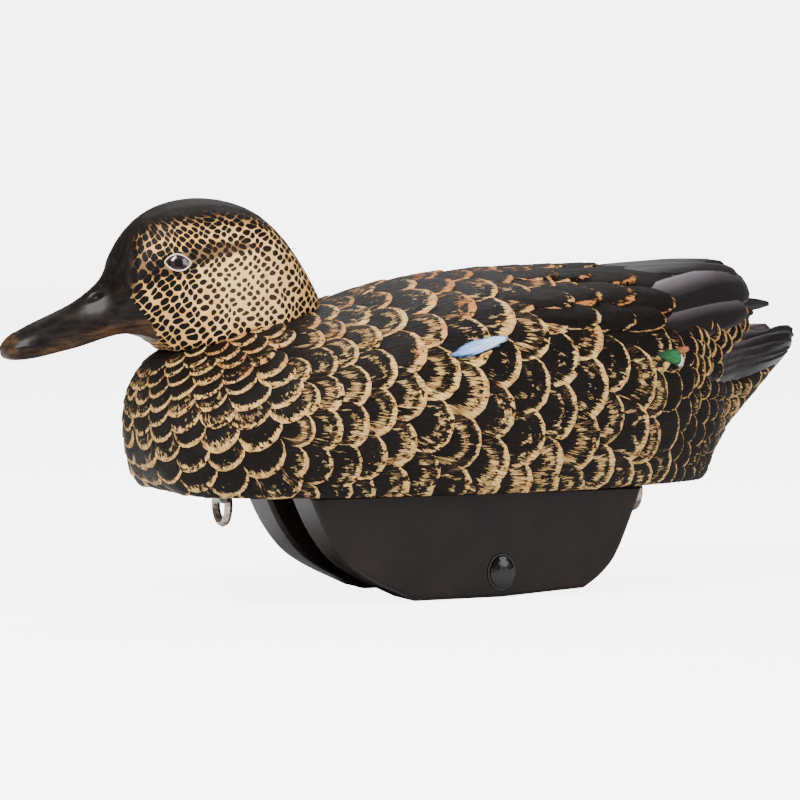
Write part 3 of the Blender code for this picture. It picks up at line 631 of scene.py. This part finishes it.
def lay_one(coats, field, spot, pitch, width):
    """One feather of a row, as big and as worn as its place on the body asks."""
    x, _, z = drawing(spot)
    _, normal, _, _ = skin_tree.find_nearest(spot)
    on_wing = z > SIDE_LINE_Z and x > 48 or z > 88 and x > 104
    under_tail = x > 118 and z > ramp(x, (118, 78), (165, 90))
    if on_wing or under_tail or x > 158:
        return
    slope = growth_slope(field, spot)
    slope -= normal * slope.dot(normal)
    ahead = pitch / min(max(slope.length, 0.7), 1.35)
    heading = Matrix.Rotation(random.uniform(-0.14, 0.14), 3, normal) @ slope.normalized()
    size = random.uniform(0.88, 1.13)
    kind, rim, crescent = "flank", 0.21, 0.54
    if field is not side_growth:
        kind, rim, crescent = "breast", 0.26, 0.3
    elif z > SIDE_LINE_Z or normal.z > 0.6:
        kind, rim, crescent = "back", 0.2, 0.46
    if x > 84:
        rim, crescent = 0.15, 0.25
    if x > 118:
        rim, crescent = 0.34, 0.45
    warm = ramp(z, (85, 0.2), (110, 0.5), (122, 0.8)) if x > -70 else ramp(z, (60, 0.15), (95, 0.55))
    tall = ramp(width, (8, 0.35), (20, 1.0))
    lift = 0.4 if field is hem_growth else 0.55 + 0.6 * tall
    coats[kind].lay(
        spot, heading, width * 1.1 * size, ahead * 1.12 * size, ahead * 1.5, lift=lift,
        rim=rim * random.uniform(0.75, 1.3), crescent=crescent + random.uniform(-0.2, 0.2),
        warm=warm + random.uniform(-0.15, 0.15), thickness=0.5 + 0.5 * tall, worn=random.uniform(0.1, 0.6),
    )


def on_side(x, z, side):
    """The place on the body's flank at this x and height, left (-1) or right (1)."""
    outside = at(x, 120.0 * side, z)
    hit = skin_tree.ray_cast(outside, Vector((0, -side, 0)))[0]
    return hit if hit is not None else skin_tree.find_nearest(at(x, 0, z))[0]


def on_top(x, y, start_z=200.0):
    """The place on the body straight below this x and y."""
    return skin_tree.ray_cast(at(x, y, start_z), Vector((0, 0, -1)))[0]


def lay_between(coat, root, tip, width, **settings):
    """A long feather from its root to its tip."""
    reach = (tip - root).length / MM
    middle = root.lerp(tip, 0.55)
    coat.lay(middle, tip - root, width, reach * 0.5, reach * 0.6, **settings)


def lay_scapulars(coat):
    """The big rounded shoulder feathers that cover the wing's root, front ones on top."""
    rows = (
        # tip x, tip z, length, width, rim, warmth
        (96.0, 111.0, 42.0, 17.0, 0.07, 0.9), (84.0, 119.5, 40.0, 15.0, 0.1, 0.9),
        (88.0, 104.5, 34.0, 13.0, 0.07, 0.8), (78.0, 113.5, 36.0, 17.0, 0.2, 1.0),
        (73.0, 105.0, 34.0, 14.0, 0.09, 0.6), (66.0, 120.5, 32.0, 15.0, 0.16, 1.0),
        (62.0, 113.0, 32.0, 15.0, 0.2, 0.9), (57.0, 105.5, 28.0, 14.0, 0.16, 0.5),
        (51.0, 120.0, 26.0, 14.0, 0.2, 0.9), (49.0, 111.5, 26.0, 15.0, 0.22, 0.6),
    )
    front_tip_x = min(row[0] for row in rows)
    for tip_x, tip_z, length, width, rim, warm in rows:
        for side in (-1, 1):
            tip = on_side(tip_x, tip_z, side)
            root = on_side(tip_x - length, tip_z + 1.5, side)
            lift = 1.9 - (tip_x - front_tip_x) * 0.016
            lay_between(
                coat, root, tip, width, lift=lift, rim=rim, crescent=0.16, warm=warm * 0.75, sink=0.2,
                crown=1.2, thickness=1.8, square=2.1, worn=random.uniform(0.5, 0.9),
            )
    for x in (52, 66, 80):
        for y in (-5.5, 5.5):
            tip, root = on_top(x, y), on_top(x - 28, y)
            lay_between(
                coat, root, tip, 15.0, lift=0.9, rim=0.1, crescent=0.1, warm=0.5, crown=0.9, thickness=1.2,
                worn=0.8,
            )


def lay_wing(coat):
    """Long folded wing feathers: the lowest lie deepest."""
    for side in (-1, 1):
        flank = 1.0 if side > 0 else 0.0
        vanes = (
            (on_side(86, 99.5, side), on_side(139, 104.5, side), 9.0, 0.9),
            (on_side(70, 98.0, side), on_side(135, 107.0, side), 14.0, 1.8),
            (on_side(70, 107.5, side), on_side(143, 115.5, side), 20.0, 2.7),
            (on_top(76, 17 * side), on_top(139, 8 * side), 18.0, 2.6),
            (on_top(72, 6 * side), on_top(136, 3 * side), 12.0, 3.0),
        )
        for root, tip, width, lift in vanes:
            lay_between(
                coat, root, tip, width, lift=lift, rim=flank, sink=1.4, crown=0.9, square=2.5,
                thickness=2.2, ridge=0.3, narrow=0.1,
            )


def lay_tail(coat):
    """The tail's fan: ridged vanes that run together towards its tip, also below the wing tips."""
    for side in (-1, 1):
        flank = 1.0 if side > 0 else 0.0
        for k in range(5):
            root = on_side(104.0 + 5.6 * k, 79.0 + 4.5 * k, side)
            tip = on_side(158.5 + 1.5 * k, 89.5 + 1.9 * k, side)
            lay_between(
                coat, root, tip, 9.0, lift=0.8 + 0.35 * k, rim=flank, sink=0.7, crown=0.9, square=2.5,
                thickness=1.8, ridge=1.5, narrow=0.1,
            )
        for k, spread in enumerate((22.0, 15.0, 8.0, 2.5)):
            root = on_top(141.0, spread * side, TAIL_GAP_Z)
            tip = on_top(164.5, spread * side * 0.6, TAIL_GAP_Z)
            if root is None or tip is None:
                continue
            lay_between(
                coat, root, tip, 9.0, lift=1.2 + 0.2 * k, rim=flank, sink=0.1, crown=0.7, square=2.4,
                thickness=1.6, ridge=0.8, narrow=0.1,
            )


def lay_rump(coat):
    """Short barred feathers between the wing tips and the tail."""
    for column in range(11):
        x = 101.0 + column * 3.7
        low = ramp(x, (101, 82), (127, 97), (138, 102))
        high = ramp(x, (101, 94), (122, 102), (140, 106))
        count = max(round((high - low) / 7.0), 1)
        for k in range(count + 1):
            z = low + (high - low) * (k + 0.5 * (column % 2)) / count
            for side in (-1, 1):
                coat.lay(
                    on_side(x, z, side), Vector((1.0, 0, 0.3)), 8.6, 3.9, 6.0, lift=1.3, rim=0.4,
                    crescent=random.uniform(0.1, 0.4), warm=0.35, thickness=0.7, worn=0.1,
                )


def lay_patches(skin_coats):
    """The bright patches: blue on the middle of each side, the others near its rear end."""
    blue, green, white, rust = skin_coats
    flat = {"crown": 0.0, "thickness": 1.0, "square": 2.6, "narrow": 0.0}
    for side in (-1, 1):
        lay_between(
            blue, on_side(-6.0, 92.4, side), on_side(16.0, 98.2, side), 5.8, lift=1.9, sink=-1.5, crown=0.1,
            thickness=1.8, narrow=0.6, taper=0.6,
        )
        lay_between(
            green, on_side(82, 91.4, side), on_side(93.0, 90.0, side), 5.0, lift=1.7, sink=-0.9,
            taper=-1.2, **flat,
        )
        lay_between(
            white, on_side(88, 90.2, side), on_side(94.6, 88.6, side), 4.6, lift=1.5, sink=-0.8,
            taper=-1.0, **flat,
        )
        lay_between(
            rust, on_side(91, 92.2, side), on_side(98.5, 93.2, side), 2.8, lift=1.5, sink=-0.7, **flat
        )


# ---- head ---------------------------------------------------------------------------------------
SCALE_STEP = 2.5  # mm from one painted dot to the next
HEAD_ROUND = 21.0  # mm, how round the cheek is
HEAD_MIDDLE_X, HEAD_MIDDLE_Z = -80.0, 122.0  # the dots run round a slanted line through here
NOSTRIL_X, NOSTRIL_Z, NOSTRIL_TURN = -124.3, 114.4, (0.87, 0.49)
MARK_REACH = 16  # mm, how far round its edge a marking is told apart


def bill_edge_x(z):
    return ramp(z, (97.0, -100.5), (101.0, -103.2), (105.1, -106.1), (109.6, -110.4), (113.2, -113.6),
                (117.0, -115.4), (122.0, -115.9), (128.0, -116.6), (133.0, -118.0))


def mouth_z(x):
    return ramp(x, (-158.0, 94.4), (-150.0, 94.8), (-139.0, 97.0), (-128.0, 99.4), (-117.0, 101.8),
                (-104.0, 103.6))


def cap_amount(x, z):
    """How far a place is inside the dark cap, in mm; the dark front of the face counts too."""
    line = ramp(x, (-117, 129), (-113, 134), (-108.7, 138.5), (-104, 141), (-97.7, 143), (-87, 144.2),
                (-76, 144.6), (-65, 143.6), (-58, 141.5), (-50, 134.5), (-43, 124.5), (-38, 117))
    front = -112.3 - x + ramp(z, (108, -6.0), (116, -1.5), (126, 0.0), (134, 1.5))
    return max(z - line, front)


def stripe_amount(x, z):
    """How far a place is inside the dark stripe through the eye, in mm."""
    middle = ramp(x, (-116, 123.0), (-105, 124.6), (-97, 126.6), (-90, 129.4), (-80, 131.8),
                  (-70, 132.8), (-60, 131.5))
    half = ramp(x, (-116, 4.5), (-104, 3.2), (-97, 4.0), (-88, 3.0), (-76, 2.0), (-67, 0.6), (-60, -3.0))
    return half - abs(z - middle)


def sparse_amount(x, z):
    """1 where the dots are small and far apart, 0 where they crowd."""
    along = ramp(x, (-100, 0.0), (-86, 0.6), (-76, 1.0), (-62, 0.8), (-48, 0.25))
    return along * ramp(z, (99, 0.1), (108, 0.8), (122, 1.0), (132, 0.5), (142, 0.15))


def bell(value, width):
    return math.exp(-(value / width) ** 2)


def nostril_amount(x, y, z, long, tall):
    """1 in the middle of each nostril, which falls away over a slanted oval of this size."""
    if abs(y) <= 2:
        return 0.0
    cosine, sine = NOSTRIL_TURN
    ahead = (x - NOSTRIL_X) * cosine + (z - NOSTRIL_Z) * sine
    above = -(x - NOSTRIL_X) * sine + (z - NOSTRIL_Z) * cosine
    return math.exp(-(ahead / long) ** 2 - (above / tall) ** 2)


def head_shape(x, y, z):
    """How far the finished surface stands off the plain head here, in mm."""
    beak = x - bill_edge_x(z)
    height = 0.4 * ramp(beak, (-0.3, 0.0), (0.9, 1.0))
    if beak < 0.5:
        mouth = ramp(x, (-157, 0.0), (-153, 1.0), (-106, 1.0), (-103, 0.3))
        height -= 0.55 * bell(z - mouth_z(x), 0.6) * mouth
        height += 0.3 * bell(z - mouth_z(x) - 1.6, 0.9)
        height += 0.45 * nostril_amount(x, y, z, 3.6, 1.9) - 1.5 * nostril_amount(x, y, z, 2.3, 0.85)
        height += 0.3 * ramp(x, (-153.6, 1.0), (-152.8, 0.0)) * bell(y, 4.5)
    return height


def mark_head(skin):
    """Gives a mesh on the head what its paint goes by: the markings, and a flat map for the dots."""
    marks = skin.verts.layers.float_color.new("marks")
    bill = skin.verts.layers.float_color.new("bill")
    scales = skin.loops.layers.uv.new("scales")
    for vert in skin.verts:
        x, y, z = drawing(vert.co)
        cap = 0.5 + cap_amount(x, z) / MARK_REACH
        stripe = 0.5 + stripe_amount(x, z) / MARK_REACH
        beak = 0.5 + (x - bill_edge_x(z)) / MARK_REACH
        band = ramp(z - mouth_z(x), (0.4, 1.0), (7.0, 0.0))
        band *= ramp(x, (-157, 0.35), (-135, 0.7), (-110, 1.0))
        tip = ramp(x, (-155.5, 0.75), (-152.5, 0.0))
        dent = nostril_amount(x, y, z, 2.0, 0.8)
        vert[marks] = (cap, stripe, beak, 1.0)
        vert[bill] = (sparse_amount(x, z), max(band, tip), dent, 1.0)
    for face in skin.faces:
        middle = drawing(face.calc_center_median())
        side = 1 if middle[1] > 0 else -1
        for loop in face.loops:
            x, y, z = drawing(loop.vert.co)
            along = (x - HEAD_MIDDLE_X - z + HEAD_MIDDLE_Z) * math.sqrt(0.5)
            up = (x - HEAD_MIDDLE_X + z - HEAD_MIDDLE_Z) * math.sqrt(0.5)
            angle = math.atan2(y * side, up)
            if angle < -math.pi / 2:
                angle += 2 * math.pi
            loop[scales].uv = (along / SCALE_STEP, side * angle * HEAD_ROUND / SCALE_STEP)


def build_head(material):
    bm = merged_copy("head_shell")
    outer_only(bm, ["body_shell"])
    skin = remeshed(bm, voxel=0.68, smoothing=5)
    moves = [vert.normal * head_shape(*drawing(vert.co)) * MM for vert in skin.verts]
    for vert, move in zip(skin.verts, moves):
        vert.co += move
    mark_head(skin)
    tree = BVHTree.FromBMesh(skin)
    piece = as_piece("head_skin", skin, material, crease=70)
    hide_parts("head_shell")
    return tree


def rings_bridged(rings, closed):
    """A closed skin over rings of points, which have the same number of points each."""
    bm = bmesh.new()
    loops = []
    for points in rings:
        verts = bmesh.ops.create_circle(bm, cap_ends=False, segments=len(points), radius=1.0)["verts"]
        for vert, point in zip(verts, points):
            vert.co = point
        loops.append({edge for vert in verts for edge in vert.link_edges})
    pairs = list(zip(loops, loops[1:]))
    if closed:
        pairs.append((loops[-1], loops[0]))
    for first, second in pairs:
        bmesh.ops.bridge_loops(bm, edges=list(first | second))
    if not closed:
        bmesh.ops.holes_fill(bm, edges=[edge for edge in bm.edges if edge.is_boundary], sides=0)
    bmesh.ops.recalc_face_normals(bm, faces=bm.faces)
    return bm


ALMOND_LONG, ALMOND_TALL = 4.75, 2.95  # mm, half the eye's opening
LID_LONG, LID_TALL = 6.3, 5.8  # mm, half the lid's outline
EYE_LINE_RADIUS = 0.29  # mm, of the pale line's cord


def build_eyelid(side, name, head_tree, paint, rim):
    """The lid closes in on the eye from its round socket to an almond, which a pale line follows."""
    turn = Matrix.Rotation(math.radians(EYE_TURN * side), 4, "Z")
    lean = Matrix.Rotation(math.radians(EYE_LIFT * side), 4, "X")
    x, y, z = EYE_CENTRE
    place = Matrix.Translation(at(x, y * side, z)) @ turn @ lean
    outward = (place.to_3x3() @ Vector((0, side, 0))).normalized()

    def point(across, up, height):
        return place @ Vector((across * MM, height * side * MM, up * MM))

    def skin_height(across, up):
        hit = head_tree.ray_cast(point(across, up, 15.0), -outward)[0]
        return (hit - place.translation).dot(outward) / MM

    count = 40
    rings = [[] for _ in range(6)]
    tube = []
    for k in range(count):
        angle = 2 * math.pi * k / count
        c, s = math.cos(angle), math.sin(angle)
        almond = Vector((ALMOND_LONG * c, ALMOND_TALL * s * (0.35 + 0.65 * abs(s)) - 0.25 * c))
        outer = Vector((LID_LONG * c, LID_TALL * s))
        reach = min(almond.length / EYE_RADIUS, 1.0)
        skin = skin_height(*outer)
        dome = EYE_HALF_DEPTH * math.sqrt(1 - reach * reach)
        near = dome + (skin - dome) * ramp(almond.length, (3.2, 0.0), (5.0, 0.75))
        for ring, (share, height) in zip(rings, (
            (0.0, near - 1.0), (0.0, near + 0.35), (0.3, near * 0.6 + skin * 0.4 + 0.55),
            (0.65, skin + 0.35), (1.0, skin - 0.1), (1.0, skin - 1.4),
        )):
            ring.append(point(*almond.lerp(outer, share), height))
        tube.append(point(*almond.lerp(outer, 0.04), near + 0.42))
    lid = rings_bridged(rings, True)
    mark_head(lid)
    as_piece("eyelid_" + name, lid, paint, crease=60)
    middle = sum(tube, Vector()) / count
    bands = []
    for spot in tube:
        away = (spot - middle).normalized()
        bands.append([
            spot + (away * math.cos(a) + outward * math.sin(a)) * EYE_LINE_RADIUS * MM
            for a in [math.pi * k / 4 for k in range(8)]
        ])
    as_piece("eye_line_" + name, rings_bridged(bands, True), rim, crease=70)


def build_wing_tips(material):
    """The folded flight feathers' points, which stand clear of the tail."""
    bm = bmesh.new()
    layer = bm.loops.layers.uv.new("feather")
    info = bm.verts.layers.float_color.new("paint")
    points = (
        # the start and the end of each vane, half its height at the start
        ((120.0, 9.5, 108.5), (160.6, 2.6, 109.0), 4.2),
        ((118.0, 13.0, 103.5), (152.0, 5.0, 105.6), 4.6),
        ((116.0, 16.0, 99.5), (146.0, 8.5, 102.8), 4.4),
    )
    for side in (-1, 1):
        for start, end, half in points:
            first = at(start[0], start[1] * side, start[2])
            last = at(end[0], end[1] * side, end[2])
            rings = []
            for k in range(9):
                share = k / 8
                middle = first.lerp(last, share)
                thick, tall = 1.5 * (1 - 0.6 * share), half * (1 - share) ** 0.62 + 0.9
                rings.append([
                    middle + Vector((0, thick * math.cos(a) * side, tall * math.sin(a))) * MM
                    for a in [math.pi * n / 6 for n in range(12)]
                ])
            vane = rings_bridged(rings, False)
            mesh = bpy.data.meshes.new("vane")
            vane.to_mesh(mesh)
            vane.free()
            count = len(bm.verts)
            bm.from_mesh(mesh)
            bm.verts.ensure_lookup_table()
            for vert in bm.verts[count:]:
                vert[info] = (random.random(), 1.0 if side > 0 else 0.0, 0.0, 1.0)
                for loop in vert.link_loops:
                    share = (vert.co.x - first.x) / (last.x - first.x)
                    middle = first.z + (last.z - first.z) * share
                    loop[layer].uv = ((middle - vert.co.z) * side / (half * MM), share * 2 - 1)
    as_piece("wing_tips", bm, material)


# ---- building -----------------------------------------------------------------------------------
dotted, rim = head_paint(), rim_paint()
head_tree = build_head(dotted)
build_eyelid(-1, "left", head_tree, dotted, rim)
build_eyelid(1, "right", head_tree, dotted, rim)

shell = merged_copy("body_shell")
outer_only(shell, ["bottom_pan", "head_shell"])
body_skin = remeshed(shell, voxel=1.6, smoothing=6)
tips_start = at(143, 0, TAIL_GAP_Z)
tips = [v for v in body_skin.verts if v.co.x > tips_start.x and v.co.z > tips_start.z]
smoothed(body_skin, tips, 40)
skin_tree = BVHTree.FromBMesh(body_skin)
blank = feather_blank(16, (0.08, 0.26, 0.3))
small_blank = feather_blank(12, (0.1, 0.4))
long_blank = feather_blank(36, (0.06, 0.2, 0.24, 0.24))
coats = {name: Coat(skin_tree, blank) for name in ("breast", "flank", "back", "scapular")}
coats["rump"] = Coat(skin_tree, small_blank)
lay_body_feathers(body_skin, coats)
lay_scapulars(coats["scapular"])
lay_rump(coats["rump"])
wing, tail = Coat(skin_tree, long_blank), Coat(skin_tree, long_blank)
lay_wing(wing)
lay_tail(tail)
patches = [Coat(skin_tree, long_blank) for _ in range(4)]
lay_patches(patches)

plumage = feather_paint("painted_scallops")
for name, coat in coats.items():
    coat.done(name + "_feathers", plumage)
# in both quill paints the second colour is a painted highlight on each quill's upper half, and ridge sets
# its strength
wing_paint = quill_paint(
    "wing_quills", srgb(18, 13, 14), srgb(116, 106, 112), srgb(206, 190, 170), 0.3
)
tail_paint = quill_paint(
    "tail_quills", srgb(14, 10, 12), srgb(128, 116, 120), srgb(196, 170, 140), 0.22, ridge=0.6
)
wing.done("wing_quills", wing_paint)
tail.done("tail_quills", tail_paint)
build_wing_tips(wing_paint)
for coat, (name, colour, pale) in zip(patches, (
    ("blue_patch", srgb(104, 152, 222), srgb(224, 236, 248)),
    ("green_patch", srgb(12, 66, 34), srgb(44, 122, 68)),
    ("white_patch", srgb(190, 206, 196), srgb(236, 240, 234)),
    ("rust_patch", srgb(120, 66, 36), srgb(186, 120, 76)),
)):
    coat.done(name, patch_paint(name, colour, pale))

# the smoothed skin's lower edge is lifted off the pan, so that the two don't cross
pan_tree = BVHTree.FromBMesh(merged_copy("bottom_pan"))
for vert in body_skin.verts:
    if vert.co.z < (BODY_BOTTOM_Z + 1.3) * MM and pan_tree.find_nearest(vert.co)[3] < 1.2 * MM:
        vert.co.z += 2 * MM
skin_piece = as_piece("body_skin", body_skin, base_paint())
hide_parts("body_shell")

keel_plastic = moulded_plastic("keel_moulding", srgb(16, 10, 8), srgb(29, 19, 16), 0.34)
plug_rubber = moulded_plastic("plug_rubber", srgb(4, 4, 5), srgb(9, 8, 9), 0.12, shine=0.5)
steel, wire, sand, eye_gloss = zinc_steel(), plated_wire(), packed_sand(), eye_paint()
finishes = {
    "bottom_pan": keel_plastic, "keel_shell": keel_plastic, "plug": plug_rubber, "ring": wire,
    "strap": steel, "keel_screw": steel, "ballast": sand, "eye": eye_gloss,
}
for name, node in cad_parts.items():
    for start, material in finishes.items():
        if name.startswith(start):
            node.data.materials.clear()
            node.data.materials.append(material)


# ---- camera, floor and light --------------------------------------------------------------------
CAMERA_LENS = 152.7  # mm, on a 36 mm wide sensor
SKY_LIGHT, BACKDROP_GLOW, FLOOR_GLOW = 0.27, 5.8, 5.2


def look_from(azimuth, elevation, distance, target):
    """A place this far off the target, and the turn that faces it; the angles are in degrees."""
    away = Vector((
        math.sin(math.radians(azimuth)) * math.cos(math.radians(elevation)),
        -math.cos(math.radians(azimuth)) * math.cos(math.radians(elevation)),
        math.sin(math.radians(elevation)),
    ))
    return target + away * distance, away.to_track_quat("Z", "Y")


def add_camera():
    data = bpy.data.cameras.new("camera")
    data.sensor_width = 36.0
    data.lens = CAMERA_LENS
    camera = bpy.data.objects.new("camera", data)
    bpy.context.scene.collection.objects.link(camera)
    place, turn = look_from(-24.0, 3.0, 1.3, at(0, 0, 73.6))
    camera.location = place
    camera.rotation_mode = "QUATERNION"
    camera.rotation_quaternion = turn
    bpy.context.scene.camera = camera


def add_light(name, azimuth, elevation, distance, size, power):
    data = bpy.data.lights.new(name, "AREA")
    data.shape = "DISK"
    data.size = size
    data.energy = power
    light = bpy.data.objects.new(name, data)
    bpy.context.scene.collection.objects.link(light)
    place, turn = look_from(azimuth, elevation, distance, at(0, 0, 70))
    light.location = place
    light.rotation_mode = "QUATERNION"
    light.rotation_quaternion = turn


def add_studio():
    bm = bmesh.new()
    bmesh.ops.create_grid(bm, x_segments=1, y_segments=1, size=6.0)
    mesh = bpy.data.meshes.new("studio_floor")
    bm.to_mesh(mesh)
    bm.free()
    floor = bpy.data.objects.new("studio_floor", mesh)
    bpy.context.scene.collection.objects.link(floor)
    paint = Paint("studio_floor")
    x, y, z = paint.object_place()
    mottle = paint.noise(paint.vector(x, y, z), 0.004, 2.0)
    mesh.materials.append(paint.finish(paint.mix((0.9, 0.9, 0.9), (0.93, 0.93, 0.93), mottle), 0.9))
    seen = paint.node("ShaderNodeLightPath")
    glow = paint.mix((0.0, 0.0, 0.0), (1.0, 1.0, 1.0), seen)
    paint.feed(paint.shader.inputs["Emission Color"], glow)
    paint.shader.inputs["Emission Strength"].default_value = FLOOR_GLOW
    world = bpy.data.worlds.new("studio")
    bpy.context.scene.world = world
    world.use_nodes = True
    tree = world.node_tree
    sky, backdrop = tree.nodes["Background"], tree.nodes.new("ShaderNodeBackground")
    sky.inputs["Color"].default_value = backdrop.inputs["Color"].default_value = (1, 1, 1, 1)
    sky.inputs["Strength"].default_value = SKY_LIGHT
    backdrop.inputs["Strength"].default_value = BACKDROP_GLOW
    seen, choice = tree.nodes.new("ShaderNodeLightPath"), tree.nodes.new("ShaderNodeMixShader")
    tree.links.new(seen.outputs["Is Camera Ray"], choice.inputs["Fac"])
    tree.links.new(sky.outputs[0], choice.inputs[1])
    tree.links.new(backdrop.outputs[0], choice.inputs[2])
    tree.links.new(choice.outputs[0], tree.nodes["World Output"].inputs["Surface"])
    add_light("key", -50, 46, 1.1, 0.6, 23)
    add_light("fill", 30, 22, 1.4, 1.0, 9)
    add_light("rim", 160, 50, 1.2, 0.8, 6)


add_camera()
add_studio()
